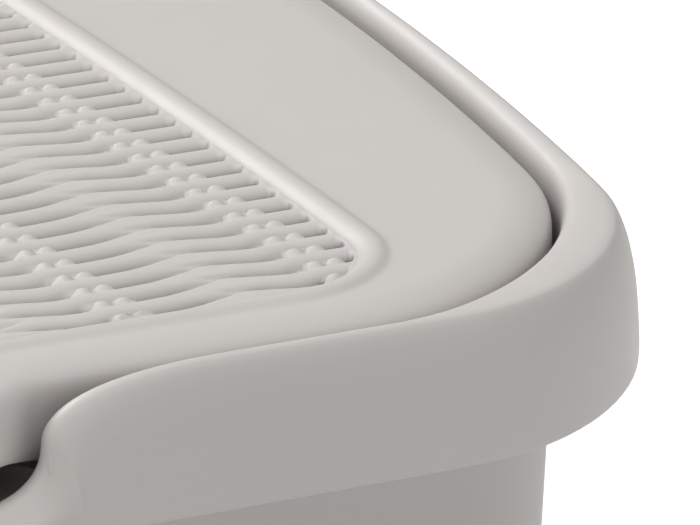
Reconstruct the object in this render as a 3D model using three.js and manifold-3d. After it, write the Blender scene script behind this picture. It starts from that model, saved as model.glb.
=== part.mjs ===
// A cat litter box with a hood: a tapered litter pan, a hood with a swing door at the front,
// a rolled rim round the top, and a hinged lid with a woven vent panel and a carbon filter.
// Millimetres, +Z up. The front, with the door, faces -Y.
// The origin is the middle of the footprint, on the floor.

import * as THREE from "three";
import { mergeVertices } from "three/addons/utils/BufferGeometryUtils.js";
import Module from "manifold-3d";

const wasm = await Module();
wasm.setup();

// The whole box, measured over the rolled rim
const HALF_WIDTH = 205; // at the middle of the length, where the sides bow out furthest
const HALF_LENGTH = 270;
const HEIGHT = 389; // to the crest of the rim
const SIDE_BOW = 0.17; // share of the width that is lost at the front and the back
const CORNER_RADIUS = 52;
const LEAST_RADIUS = 28;
const GAP = 0.3; // between neighbours that touch on the real box
const OVERLAP = 1; // how far joined solids reach into each other, and cutters reach past a face
const LOW = 360; // below everything on the lid
const HIGH = 395; // above everything

// How the outline is divided
const ARC_STEPS = 5;
const SIDE_STEPS = 6;

// Rolled rim, with a dip in the middle of the front
const RIM_HEIGHT = 23;
const DIP_DEPTH = 17;
const DIP_HALF_WIDTH = 60;
const DIP_SLOPE = 24;
const DIP_STATIONS = 4;
const LEDGE_TOP = 374;
const LEDGE_THICKNESS = 2.5;
const LEDGE_INSET = 22;
const LEDGE_DROP = 6; // of the ledge behind the dip
const LEDGE_ROOM_INSET = 10;
const LEDGE_ROOT = { above: 9.8, below: 7.4 }; // insets where the ledge meets the roll
const RIM_EDGE = 2.3; // thickness of the rim's lower edge
// The roll: inset, distance below the crest, and the same distance inside the dip.
const ROLL_OUTSIDE = [
  [1.2, 7, 2.2],
  [2.8, 2, 0.6],
  [5.5, 0, 0],
  [8, 1, 0.8],
  [9.4, 4, 2.3],
];
const ROLL_INSIDE = [
  [7, 5, 4.8],
  [5.5, 2.4, 2.4],
  [3.9, 4, 3.1],
  [3.5, 8, 4.3],
];

// Hood and pan walls
const WALL = 2.5;
const WALL_INSET = 17; // how far the rim overhangs the wall just below it
const WALL_TAPER = 0.06; // inwards for each millimetre down
const PAN_BOTTOM = 6;
const PAN_TOP = 131;
const PAN_CHAMFER = 3;
const FLANGE_INSET = 24;
const FLANGE_THICKNESS = 3;
const FLANGE_LIP = 13;
const TONGUE_DEPTH = 13;

// Doorway and door
const DOORWAY_HALF_WIDTH = 90;
const DOORWAY_BOTTOM = 142;
const DOORWAY_TOP = 326;
const DOORWAY_LOW_RADIUS = 40;
const DOORWAY_TOP_RADIUS = 6;
const DOOR_FRAME_WIDTH = 9;
const DOOR_FRAME_FRONT = -257;
const DOOR_FRAME_BACK = -234;
const DOOR_PLANE = -244;
const DOOR_THICKNESS = 2.5;
const DOOR_CLEARANCE = 2.5;
const DOOR_AXIS_Z = 318;
const DOOR_BARREL_RADIUS = 5;
const DOOR_AXLE_RADIUS = 2;
const DOOR_AXLE_REACH = 4; // into the frame at each end
const DOOR_GRIP = { halfWidth: 26, height: 7, depth: 5, centre: 158 };

// Lid
const LID_INSET = 12;
const LID_TOP = 389;
const LID_SKIN = 3;
const LID_REAR = 226;
const SKIRT_REAR = 211;
const REAR_RELIEF_X = 167; // the lid is narrower than this behind the end of its skirt
const SHOULDER = 14;
const LID_SKIRT = 3;
const LID_FILLET = 3; // inside, between the skirt and the skin
const SKIRT_DRAFT = 0.4;
// The lid's rounded edge: inset from its outline, and distance below its top.
const LID_EDGE = [
  [0, 4.5],
  [0.8, 2.2],
  [4, 0.8],
];
const TAB = { halfWidth: 51, front: -265.5, back: -252, top: 388, bottom: 377, edge: 3, edgeSteps: 3 };
const LID_AXIS = { y: 222, z: 380 };
const LID_KNUCKLE_RADIUS = 5.5;
const LID_KNUCKLE_LENGTH = 15;
const HINGE_X = 100;
const HINGE_NOTCH = 18; // half width of the notch in the lid round each hinge
const HINGE_NOTCH_FRONT = 213;
const KNUCKLE_ARM_FRONT = 205;
const LUG_THICKNESS = 4;
const LUG_REAR = 235;
const PIN_RADIUS = 2.5;

// Fixed deck behind the lid, which carries its hinges
const DECK_FRONT = 233.6;
const DECK_THICKNESS = 3;
const DECK_INSET = 8.5;

// Woven vent panel, its bead, and the filter below it
const PANEL = { halfWidth: 138.8, front: -245.5, rear: 195, radius: 14, bow: 0.09 };
const PANEL_THICKNESS = 3;
const PANEL_SINK = 0.6; // how far the weave lies below the lid's top
const PANEL_SHELF = 5;
const PANEL_UNDERSIDE = LID_TOP - PANEL_SINK - PANEL_THICKNESS;
const BEAD_WIDTH = 6;
const BEAD_HEIGHT = 2;
const BEAD_STEPS = 4;
const FILTER = { halfWidth: 70, halfLength: 95, thickness: 8, radius: 8 };
const FILTER_COVER_WALL = 2;
const FILTER_SLOTS = { count: 7, width: 8, pitch: 20, margin: 18 };

// Side clips that hold the hood on the pan
const CLIP_HALF_LENGTH = 26;
const CLIP_AXIS = { x: 184.8, z: 158 };
const CLIP_BARREL_RADIUS = 4.2;
const CLIP_PIN_RADIUS = 1.8;
const CLIP_PLATE = 3;
const CLIP_FACE = 3; // how far the plate's face stands outside the axis
const CLIP_HOOK = { reach: 5.5, top: 117.4, thickness: 3.5 };
const CLIP_EAR = { thickness: 4, radius: 6, root: 1.5 };

// Feet
const FOOT = { radius: 13, x: 105, y: 175, sunk: 2, bossWall: 3, taper: 1.5 };

const ROUND_STEPS = 18;
const DEG = Math.PI / 180;

const COLOURS = {
  body: 0xcdc8c2,
  lid: 0xcfcac5,
  door: 0xb9bcbd,
  pin: 0xbdb8b2,
  filter: 0x2c2c2e,
  rubber: 0x8d8a86,
};

// ---- Solids ----

function toSolid(geometry) {
  const bare = geometry.clone();
  bare.deleteAttribute("normal");
  bare.deleteAttribute("uv");
  const merged = mergeVertices(bare, 1e-3);
  return new wasm.Manifold(
    new wasm.Mesh({
      numProp: 3,
      vertProperties: new Float32Array(merged.attributes.position.array),
      triVerts: new Uint32Array(merged.index.array),
    }),
  );
}

function toGeometry(solid) {
  const { vertProperties, triVerts } = solid.getMesh();
  const geometry = new THREE.BufferGeometry();
  geometry.setAttribute("position", new THREE.BufferAttribute(vertProperties, 3));
  geometry.setIndex(new THREE.BufferAttribute(triVerts, 1));
  geometry.computeVertexNormals();
  return geometry;
}

function block(low, high) {
  const box = new THREE.BoxGeometry(high[0] - low[0], high[1] - low[1], high[2] - low[2]);
  box.translate((low[0] + high[0]) / 2, (low[1] + high[1]) / 2, (low[2] + high[2]) / 2);
  return toSolid(box);
}

// A rod centred on a point, along X, Y or Z.
function rod(axis, radius, length, centre) {
  const geometry = new THREE.CylinderGeometry(radius, radius, length, ROUND_STEPS);
  if (axis === "x") geometry.rotateZ(Math.PI / 2);
  if (axis === "z") geometry.rotateX(Math.PI / 2);
  geometry.translate(...centre);
  return toSolid(geometry);
}

// A shape drawn in X and Z, given a thickness from one Y to another.
function frontPlate(shape, fromY, toY) {
  const settings = { depth: toY - fromY, bevelEnabled: false, curveSegments: ARC_STEPS };
  const geometry = new THREE.ExtrudeGeometry(shape, settings);
  geometry.rotateX(Math.PI / 2);
  geometry.translate(0, toY, 0);
  return toSolid(geometry);
}

// A shape drawn in X and Y, given a thickness from one Z to another.
function floorPlate(shape, fromZ, toZ) {
  const settings = { depth: toZ - fromZ, bevelEnabled: false, curveSegments: ARC_STEPS };
  const geometry = new THREE.ExtrudeGeometry(shape, settings);
  geometry.translate(0, 0, fromZ);
  return toSolid(geometry);
}

// ---- Outlines ----

// 0 outside the dip, 1 along its bottom, with an S-curve between.
function dipShare(x) {
  const half = DIP_SLOPE / 2;
  return 1 - THREE.MathUtils.smoothstep(Math.abs(x), DIP_HALF_WIDTH - half, DIP_HALF_WIDTH + half);
}

function dipStations() {
  const stations = [0];
  for (let i = 0; i <= DIP_STATIONS; i += 1) {
    stations.push(DIP_HALF_WIDTH - DIP_SLOPE / 2 + (DIP_SLOPE * i) / DIP_STATIONS);
  }
  return stations;
}

// A rounded rectangle with bowed long sides, anticlockwise from the middle of the front.
function plan({ halfWidth, front, rear, radius, bow }) {
  const bowed = (x, y) => new THREE.Vector2(x * (1 - bow * (y / HALF_LENGTH) ** 2), y);
  const right = dipStations().map((x) => new THREE.Vector2(x, front));
  const arc = (y, start) => {
    for (let i = 0; i <= ARC_STEPS; i += 1) {
      const angle = (start + (90 * i) / ARC_STEPS) * DEG;
      right.push(bowed(halfWidth - radius + radius * Math.cos(angle), y + radius * Math.sin(angle)));
    }
  };
  arc(front + radius, -90);
  for (let i = 1; i < SIDE_STEPS; i += 1) {
    right.push(bowed(halfWidth, THREE.MathUtils.lerp(front + radius, rear - radius, i / SIDE_STEPS)));
  }
  arc(rear - radius, 0);
  const left = right.slice(1).reverse();
  return [...right, ...left.map((point) => new THREE.Vector2(-point.x, point.y))];
}

function boxPlan(inset) {
  return plan({
    halfWidth: HALF_WIDTH - inset,
    front: inset - HALF_LENGTH,
    rear: HALF_LENGTH - inset,
    radius: Math.max(CORNER_RADIUS - inset, LEAST_RADIUS),
    bow: SIDE_BOW,
  });
}

// Carries a profile round a set of plans.
// A level is a plan with a height, and a second height inside the dip. A level with no plan is a point on the middle axis.
function carriedRound(levels) {
  const count = levels.find((level) => level.plan).plan.length;
  const profile = levels.map((level, i) => new THREE.Vector2(level.plan ? 1 : 0, i));
  const lathe = new THREE.LatheGeometry(profile, count);
  const position = lathe.getAttribute("position");
  for (let turn = 0; turn <= count; turn += 1) {
    levels.forEach((level, i) => {
      const point = level.plan ? level.plan[turn % count] : new THREE.Vector2();
      const share = point.y < -HALF_LENGTH / 2 ? dipShare(point.x) : 0;
      const height = THREE.MathUtils.lerp(level.z, level.dipped ?? level.z, share);
      position.setXYZ(turn * levels.length + i, point.x, point.y, height);
    });
  }
  return toSolid(lathe);
}

const boxLevel = ([inset, z, dipped]) => ({ plan: boxPlan(inset), z, dipped });
const axisLevel = (z) => ({ z });
const wallInset = (z) => WALL_INSET + (HEIGHT - RIM_HEIGHT - z) * WALL_TAPER;

// ---- Rim ----

function rimSolid() {
  const bottom = HEIGHT - RIM_HEIGHT;
  const under = LEDGE_TOP - LEDGE_THICKNESS;
  const crestInDip = HEIGHT - DIP_DEPTH;
  const onRoll = ([inset, drop, dipDrop]) => [inset, HEIGHT - drop, crestInDip - dipDrop];
  const outside = [
    [0, bottom],
    ...ROLL_OUTSIDE.map(onRoll),
    [LEDGE_ROOT.above, LEDGE_TOP, LEDGE_TOP - LEDGE_DROP],
    [LEDGE_INSET, LEDGE_TOP, LEDGE_TOP - LEDGE_DROP],
  ];
  const inside = [
    [LEDGE_INSET, under, under - LEDGE_DROP],
    [LEDGE_ROOT.below, under, under - LEDGE_DROP],
    ...ROLL_INSIDE.map(onRoll),
    [RIM_EDGE, bottom],
  ];
  let rim = carriedRound([...outside, ...inside, outside[0]].map(boxLevel));
  // The ledge is cut away beside the hinges, so that the back of the lid can turn down.
  const gap = block([-HALF_WIDTH, SKIRT_REAR, LOW], [HALF_WIDTH, DECK_FRONT, HEIGHT]);
  rim = rim.subtract(gap.intersect(insideRim(LEDGE_ROOM_INSET, LOW, LEDGE_TOP + OVERLAP)));
  rim = rim.add(deckSolid());
  for (const side of [-1, 1]) {
    for (const end of [-1, 1]) {
      const middle = side * HINGE_X + end * (LID_KNUCKLE_LENGTH / 2 + 2 * GAP + LUG_THICKNESS / 2);
      rim = rim.add(lugSolid(middle));
    }
    const bore = rod("x", PIN_RADIUS + GAP, 2 * HINGE_NOTCH, [side * HINGE_X, LID_AXIS.y, LID_AXIS.z]);
    rim = rim.subtract(bore);
  }
  return rim;
}

// Everything within the rim at an inset, between two heights.
function insideRim(inset, low, high) {
  return carriedRound([axisLevel(low), boxLevel([inset, low]), boxLevel([inset, high]), axisLevel(high)]);
}

// The deck between the lid and the back of the rim: a plate with a wall down its front edge.
function deckSolid() {
  const plate = block([-HALF_WIDTH, DECK_FRONT, HEIGHT - DECK_THICKNESS], [HALF_WIDTH, HALF_LENGTH, HEIGHT]);
  const wall = block([-HALF_WIDTH, DECK_FRONT, LEDGE_TOP - OVERLAP], [HALF_WIDTH, DECK_FRONT + WALL, HEIGHT]);
  return plate.add(wall).intersect(insideRim(DECK_INSET, LOW, HEIGHT));
}

function lugSolid(x) {
  const low = x - LUG_THICKNESS / 2;
  const high = x + LUG_THICKNESS / 2;
  const front = LID_AXIS.y - LID_KNUCKLE_RADIUS;
  const web = block([low, front, LEDGE_TOP - OVERLAP], [high, LUG_REAR, LID_AXIS.z]);
  return web.add(rod("x", LID_KNUCKLE_RADIUS, LUG_THICKNESS, [x, LID_AXIS.y, LID_AXIS.z]));
}

// ---- Hood ----

function hoodSolid() {
  const top = LEDGE_TOP - LEDGE_THICKNESS - GAP;
  const base = PAN_TOP + GAP;
  const flangeTop = base + FLANGE_THICKNESS;
  const tongue = wallInset(base) + WALL + 2 * GAP;
  const tongueEnd = wallInset(base - TONGUE_DEPTH) + WALL + 2 * GAP;
  const levels = [
    [tongueEnd + WALL, base - TONGUE_DEPTH],
    [tongueEnd, base - TONGUE_DEPTH],
    [tongue, base],
    [FLANGE_INSET, base],
    [FLANGE_INSET, flangeTop],
    [wallInset(flangeTop), flangeTop],
    [wallInset(top), top, top - LEDGE_DROP],
    [wallInset(top) + WALL, top, top - LEDGE_DROP],
    [tongue + WALL, flangeTop + WALL],
    [tongueEnd + WALL, base - TONGUE_DEPTH],
  ];
  let hood = carriedRound(levels.map(boxLevel));
  const opening = doorwayShape(DOOR_FRAME_WIDTH + GAP);
  hood = hood.subtract(frontPlate(opening, -HALF_LENGTH, -HALF_LENGTH / 2));
  for (const side of [-1, 1]) {
    for (const end of [-1, 1]) {
      hood = hood.add(clipEar(side, end * (CLIP_HALF_LENGTH + 2 * GAP + CLIP_EAR.thickness / 2)));
    }
    const bore = rod("y", CLIP_PIN_RADIUS + GAP, 4 * CLIP_HALF_LENGTH, [side * CLIP_AXIS.x, 0, CLIP_AXIS.z]);
    hood = hood.subtract(bore);
  }
  return hood;
}

// One of the two ears that carry a clip's pin, standing out of the hood's side wall.
function clipEar(side, y) {
  const root = HALF_WIDTH - wallInset(CLIP_AXIS.z) - CLIP_EAR.root;
  const xs = [side * root, side * CLIP_AXIS.x].sort((a, b) => a - b);
  const half = CLIP_EAR.thickness / 2;
  const web = block(
    [xs[0], y - half, CLIP_AXIS.z - CLIP_EAR.radius],
    [xs[1], y + half, CLIP_AXIS.z + CLIP_EAR.radius],
  );
  return web.add(rod("y", CLIP_EAR.radius, CLIP_EAR.thickness, [side * CLIP_AXIS.x, y, CLIP_AXIS.z]));
}

// ---- Pan ----

function panSolid() {
  const lipInset = FLANGE_INSET + WALL;
  const under = PAN_TOP - FLANGE_THICKNESS;
  const floor = PAN_BOTTOM + WALL;
  const levels = [
    axisLevel(PAN_BOTTOM),
    boxLevel([wallInset(PAN_BOTTOM) + PAN_CHAMFER, PAN_BOTTOM]),
    boxLevel([wallInset(PAN_BOTTOM), PAN_BOTTOM + PAN_CHAMFER]),
    boxLevel([wallInset(under), under]),
    boxLevel([lipInset, under]),
    boxLevel([lipInset, PAN_TOP - FLANGE_LIP]),
    boxLevel([FLANGE_INSET, PAN_TOP - FLANGE_LIP]),
    boxLevel([FLANGE_INSET, PAN_TOP]),
    boxLevel([wallInset(PAN_TOP) + WALL, PAN_TOP]),
    boxLevel([wallInset(floor) + WALL, floor + PAN_CHAMFER]),
    boxLevel([wallInset(floor) + WALL + PAN_CHAMFER, floor]),
    axisLevel(floor),
  ];
  let pan = carriedRound(levels);
  const bossTop = PAN_BOTTOM + OVERLAP;
  for (const [x, y] of footPlaces()) {
    const middle = [x, y, (FOOT.sunk + bossTop) / 2];
    pan = pan.add(rod("z", FOOT.radius + FOOT.bossWall, bossTop - FOOT.sunk, middle));
    pan = pan.subtract(rod("z", FOOT.radius + GAP, PAN_BOTTOM, [x, y, FOOT.sunk]));
  }
  return pan;
}

function footPlaces() {
  return [-1, 1].flatMap((front) => [-1, 1].map((side) => [side * FOOT.x, front * FOOT.y]));
}

// ---- Doorway, door and axle ----

// The doorway's outline in X and height, let out by a margin, with big round corners at the bottom.
function doorwayShape(margin, top = DOORWAY_TOP) {
  const x = DOORWAY_HALF_WIDTH + margin;
  const low = DOORWAY_BOTTOM - margin;
  const high = top + margin;
  const lowRadius = DOORWAY_LOW_RADIUS + margin;
  const topRadius = DOORWAY_TOP_RADIUS + Math.max(margin, 0);
  const shape = new THREE.Shape();
  shape.absarc(x - lowRadius, low + lowRadius, lowRadius, -Math.PI / 2, 0, false);
  shape.absarc(x - topRadius, high - topRadius, topRadius, 0, Math.PI / 2, false);
  shape.absarc(topRadius - x, high - topRadius, topRadius, Math.PI / 2, Math.PI, false);
  shape.absarc(lowRadius - x, low + lowRadius, lowRadius, Math.PI, 1.5 * Math.PI, false);
  shape.closePath();
  return shape;
}

function doorFrameSolid() {
  let frame = frontPlate(doorwayShape(DOOR_FRAME_WIDTH), DOOR_FRAME_FRONT, DOOR_FRAME_BACK);
  frame = frame.subtract(frontPlate(doorwayShape(0), DOOR_FRAME_FRONT - OVERLAP, DOOR_FRAME_BACK + OVERLAP));
  const length = 2 * (DOORWAY_HALF_WIDTH + DOOR_AXLE_REACH + OVERLAP);
  return frame.subtract(rod("x", DOOR_AXLE_RADIUS + GAP, length, [0, DOOR_PLANE, DOOR_AXIS_Z]));
}

function doorSolid() {
  const flapTop = DOOR_AXIS_Z - DOOR_CLEARANCE / 2;
  const half = DOOR_THICKNESS / 2;
  const outline = doorwayShape(-DOOR_CLEARANCE, flapTop + DOOR_CLEARANCE);
  let door = frontPlate(outline, DOOR_PLANE - half, DOOR_PLANE + half);
  const length = 2 * (DOORWAY_HALF_WIDTH - DOOR_CLEARANCE);
  door = door.add(rod("x", DOOR_BARREL_RADIUS, length, [0, DOOR_PLANE, DOOR_AXIS_Z]));
  door = door.add(
    block(
      [-DOOR_GRIP.halfWidth, DOOR_PLANE - half - DOOR_GRIP.depth, DOOR_GRIP.centre],
      [DOOR_GRIP.halfWidth, DOOR_PLANE, DOOR_GRIP.centre + DOOR_GRIP.height],
    ),
  );
  return door.subtract(rod("x", DOOR_AXLE_RADIUS + GAP, length + OVERLAP, [0, DOOR_PLANE, DOOR_AXIS_Z]));
}

function doorAxleSolid() {
  const length = 2 * (DOORWAY_HALF_WIDTH + DOOR_AXLE_REACH);
  return rod("x", DOOR_AXLE_RADIUS, length, [0, DOOR_PLANE, DOOR_AXIS_Z]);
}

// ---- Lid ----

function lidSolid() {
  const skin = LID_TOP - LID_SKIN;
  const foot = LEDGE_TOP + GAP;
  const levels = [
    axisLevel(skin),
    boxLevel([LID_INSET + SHOULDER, skin]),
    boxLevel([LID_INSET + LID_SKIRT + SKIRT_DRAFT, skin - LID_FILLET]),
    boxLevel([LID_INSET + LID_SKIRT, foot, foot - LEDGE_DROP]),
    boxLevel([LID_INSET + SKIRT_DRAFT, foot, foot - LEDGE_DROP]),
    ...LID_EDGE.map(([inset, drop]) => boxLevel([LID_INSET + inset, LID_TOP - drop])),
    boxLevel([LID_INSET + SHOULDER, LID_TOP]),
    axisLevel(LID_TOP),
  ];
  let lid = carriedRound(levels);
  lid = lid.add(tabSolid());
  lid = lid.add(panelCollar());
  lid = lid.subtract(panelWell());
  lid = lid.subtract(block([-HALF_WIDTH, LID_REAR, LOW], [HALF_WIDTH, HALF_LENGTH, HIGH]));
  // The skirt stops short of the back, where the lid turns down past the rim.
  lid = lid.subtract(block([-HALF_WIDTH, SKIRT_REAR, LOW], [HALF_WIDTH, HALF_LENGTH, skin - LID_FILLET]));
  for (const side of [-1, 1]) {
    const xs = [side * REAR_RELIEF_X, side * HALF_WIDTH].sort((a, b) => a - b);
    lid = lid.subtract(block([xs[0], SKIRT_REAR, LOW], [xs[1], HALF_LENGTH, HIGH]));
  }
  for (const side of [-1, 1]) {
    const x = side * HINGE_X;
    const notch = block([x - HINGE_NOTCH, HINGE_NOTCH_FRONT, LOW], [x + HINGE_NOTCH, HALF_LENGTH, HIGH]);
    lid = lid.subtract(notch);
    lid = lid.add(knuckleSolid(x));
  }
  return lid;
}

// A lid knuckle, its arm running forward to the lid's underside.
function knuckleSolid(x) {
  const half = LID_KNUCKLE_LENGTH / 2;
  const armTop = LID_TOP - LID_SKIN + OVERLAP;
  const arm = block([x - half, KNUCKLE_ARM_FRONT, LID_AXIS.z - OVERLAP], [x + half, LID_AXIS.y, armTop]);
  const knuckle = arm.add(rod("x", LID_KNUCKLE_RADIUS, LID_KNUCKLE_LENGTH, [x, LID_AXIS.y, LID_AXIS.z]));
  const bore = rod("x", PIN_RADIUS + GAP, LID_KNUCKLE_LENGTH + OVERLAP, [x, LID_AXIS.y, LID_AXIS.z]);
  return knuckle.subtract(bore);
}

// The pull tab in the middle of the front: a bar with rounded edges over the dip in the rim.
function tabSolid() {
  const depth = TAB.back - TAB.front;
  const shape = new THREE.Shape();
  shape.moveTo(-TAB.halfWidth + depth, TAB.back);
  const radius = depth / 2;
  shape.absarc(radius - TAB.halfWidth, TAB.front + radius, radius, Math.PI / 2, 1.5 * Math.PI, false);
  shape.absarc(TAB.halfWidth - radius, TAB.front + radius, radius, -Math.PI / 2, Math.PI / 2, false);
  shape.closePath();
  const geometry = new THREE.ExtrudeGeometry(shape, {
    depth: TAB.top - TAB.bottom - 2 * TAB.edge,
    bevelThickness: TAB.edge,
    bevelSize: TAB.edge,
    bevelOffset: -TAB.edge,
    bevelSegments: TAB.edgeSteps,
    curveSegments: ARC_STEPS,
  });
  geometry.translate(0, 0, TAB.bottom + TAB.edge);
  return toSolid(geometry);
}

function panelPlan(margin) {
  return plan({
    halfWidth: PANEL.halfWidth + margin,
    front: PANEL.front - margin,
    rear: PANEL.rear + margin,
    radius: PANEL.radius + margin,
    bow: PANEL.bow,
  });
}

// The rounded bead round the woven panel.
function panelCollar() {
  const underside = LID_TOP - LID_SKIN;
  const inner = { plan: panelPlan(GAP), z: underside };
  const levels = [inner, { plan: panelPlan(GAP + BEAD_WIDTH), z: underside }];
  for (let i = 0; i <= BEAD_STEPS; i += 1) {
    const angle = (Math.PI * i) / BEAD_STEPS;
    const margin = GAP + (BEAD_WIDTH * (1 + Math.cos(angle))) / 2;
    levels.push({ plan: panelPlan(margin), z: LID_TOP + BEAD_HEIGHT * Math.sin(angle) - GAP });
  }
  levels.push(inner);
  return carriedRound(levels);
}

// What is cut out of the lid for the panel: the panel's own room, and a smaller hole that leaves a shelf.
function panelWell() {
  const sink = PANEL_UNDERSIDE - GAP;
  const room = carriedRound([
    axisLevel(sink),
    { plan: panelPlan(GAP), z: sink },
    { plan: panelPlan(GAP), z: HIGH },
    axisLevel(HIGH),
  ]);
  const hole = carriedRound([
    axisLevel(LOW),
    { plan: panelPlan(-PANEL_SHELF), z: LOW },
    { plan: panelPlan(-PANEL_SHELF), z: HEIGHT },
    axisLevel(HEIGHT),
  ]);
  return room.add(hole);
}

function wovenPanelSolid() {
  const top = LID_TOP - PANEL_SINK;
  return carriedRound([
    axisLevel(PANEL_UNDERSIDE),
    { plan: panelPlan(0), z: PANEL_UNDERSIDE },
    { plan: panelPlan(0), z: top },
    axisLevel(top),
  ]);
}

// ---- Filter ----

function roundedShape(halfX, halfY, radius) {
  const shape = new THREE.Shape();
  shape.absarc(halfX - radius, halfY - radius, radius, 0, Math.PI / 2, false);
  shape.absarc(radius - halfX, halfY - radius, radius, Math.PI / 2, Math.PI, false);
  shape.absarc(radius - halfX, radius - halfY, radius, Math.PI, 1.5 * Math.PI, false);
  shape.absarc(halfX - radius, radius - halfY, radius, 1.5 * Math.PI, 2 * Math.PI, false);
  shape.closePath();
  return shape;
}

function filterPadSolid() {
  const top = PANEL_UNDERSIDE - GAP;
  const shape = roundedShape(FILTER.halfWidth, FILTER.halfLength, FILTER.radius);
  return floorPlate(shape, top - FILTER.thickness, top);
}

function filterCoverSolid() {
  const wall = FILTER_COVER_WALL + GAP;
  const top = PANEL_UNDERSIDE - GAP;
  const floor = top - FILTER.thickness - GAP;
  const outer = roundedShape(FILTER.halfWidth + wall, FILTER.halfLength + wall, FILTER.radius + wall);
  const inner = roundedShape(FILTER.halfWidth + GAP, FILTER.halfLength + GAP, FILTER.radius + GAP);
  let cover = floorPlate(outer, floor - FILTER_COVER_WALL, top);
  cover = cover.subtract(floorPlate(inner, floor, top + OVERLAP));
  const reach = FILTER.halfWidth - FILTER_SLOTS.margin;
  for (let i = 0; i < FILTER_SLOTS.count; i += 1) {
    const y = (i - (FILTER_SLOTS.count - 1) / 2) * FILTER_SLOTS.pitch;
    const half = FILTER_SLOTS.width / 2;
    cover = cover.subtract(block([-reach, y - half, LOW], [reach, y + half, floor + OVERLAP]));
  }
  return cover;
}

// ---- Side clips ----

function clipSolid(side) {
  const { x, z } = CLIP_AXIS;
  const length = 2 * CLIP_HALF_LENGTH;
  const outer = x + CLIP_FACE;
  const plateInner = outer - CLIP_PLATE;
  const hookLow = CLIP_HOOK.top - CLIP_HOOK.thickness;
  const span = (x0, x1, z0, z1) =>
    block(
      [Math.min(side * x0, side * x1), -CLIP_HALF_LENGTH, z0],
      [Math.max(side * x0, side * x1), CLIP_HALF_LENGTH, z1],
    );
  let clip = span(plateInner, outer, hookLow, z);
  clip = clip.add(span(plateInner - CLIP_HOOK.reach, outer, hookLow, CLIP_HOOK.top));
  clip = clip.add(rod("y", CLIP_BARREL_RADIUS, length, [side * x, 0, z]));
  return clip.subtract(rod("y", CLIP_PIN_RADIUS + GAP, length + OVERLAP, [side * x, 0, z]));
}

function clipPinSolid(side) {
  const length = 2 * (CLIP_HALF_LENGTH + CLIP_EAR.thickness + 2 * GAP);
  return rod("y", CLIP_PIN_RADIUS, length, [side * CLIP_AXIS.x, 0, CLIP_AXIS.z]);
}

// ---- The assembly ----

const box = new THREE.Group();

function addPart(name, geometry, colour, roughness = 0.5) {
  const material = new THREE.MeshStandardMaterial({ color: colour, roughness, metalness: 0 });
  const mesh = new THREE.Mesh(geometry, material);
  mesh.name = name;
  box.add(mesh);
  return mesh;
}

addPart("litter_pan", toGeometry(panSolid()), COLOURS.body);
addPart("hood_shell", toGeometry(hoodSolid()), COLOURS.body);
addPart("top_rim", toGeometry(rimSolid()), COLOURS.body);
addPart("door_frame", toGeometry(doorFrameSolid()), COLOURS.body);
addPart("swing_door", toGeometry(doorSolid()), COLOURS.door, 0.2);
addPart("door_axle", toGeometry(doorAxleSolid()), COLOURS.pin);
addPart("top_lid", toGeometry(lidSolid()), COLOURS.lid);
addPart("woven_panel", toGeometry(wovenPanelSolid()), COLOURS.lid);
addPart("filter_pad", toGeometry(filterPadSolid()), COLOURS.filter, 0.95);
addPart("filter_cover", toGeometry(filterCoverSolid()), COLOURS.lid);

for (const [side, word] of [[-1, "left"], [1, "right"]]) {
  const pinLength = 2 * (LID_KNUCKLE_LENGTH / 2 + LUG_THICKNESS + 3 * GAP);
  const lidPin = rod("x", PIN_RADIUS, pinLength, [side * HINGE_X, LID_AXIS.y, LID_AXIS.z]);
  addPart(`lid_hinge_pin_${word}`, toGeometry(lidPin), COLOURS.pin);
  addPart(`side_clip_${word}`, toGeometry(clipSolid(side)), COLOURS.lid);
  addPart(`clip_pin_${word}`, toGeometry(clipPinSolid(side)), COLOURS.pin);
}

// Soft feet, pressed into the bosses under the pan.
const footHeight = PAN_BOTTOM - FOOT.sunk;
const soleRadius = FOOT.radius - FOOT.taper;
const footGeometry = new THREE.CylinderGeometry(FOOT.radius, soleRadius, footHeight, ROUND_STEPS);
footGeometry.rotateX(Math.PI / 2);
for (const [x, y] of footPlaces()) {
  const name = `foot_${y < 0 ? "front" : "rear"}_${x < 0 ? "left" : "right"}`;
  const foot = addPart(name, footGeometry, COLOURS.rubber, 0.9);
  foot.position.set(x, y, footHeight / 2);
}

export default box;
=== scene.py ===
import math

import bmesh
import bpy
import numpy as np
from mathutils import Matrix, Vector


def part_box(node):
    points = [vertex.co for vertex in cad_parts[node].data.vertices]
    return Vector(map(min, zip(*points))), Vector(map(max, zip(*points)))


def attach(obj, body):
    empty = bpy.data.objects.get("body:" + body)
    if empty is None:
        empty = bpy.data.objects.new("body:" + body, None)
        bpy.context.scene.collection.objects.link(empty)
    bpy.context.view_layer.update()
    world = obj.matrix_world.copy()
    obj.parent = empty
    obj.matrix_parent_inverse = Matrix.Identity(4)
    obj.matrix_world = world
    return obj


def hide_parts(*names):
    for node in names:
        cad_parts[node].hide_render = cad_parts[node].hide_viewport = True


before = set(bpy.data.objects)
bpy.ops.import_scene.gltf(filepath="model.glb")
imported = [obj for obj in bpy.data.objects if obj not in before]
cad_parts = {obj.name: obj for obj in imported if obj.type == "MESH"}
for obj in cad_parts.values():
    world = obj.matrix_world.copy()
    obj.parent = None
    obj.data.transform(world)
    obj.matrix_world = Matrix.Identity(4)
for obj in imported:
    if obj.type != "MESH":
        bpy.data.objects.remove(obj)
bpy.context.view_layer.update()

MM = 0.001

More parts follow.
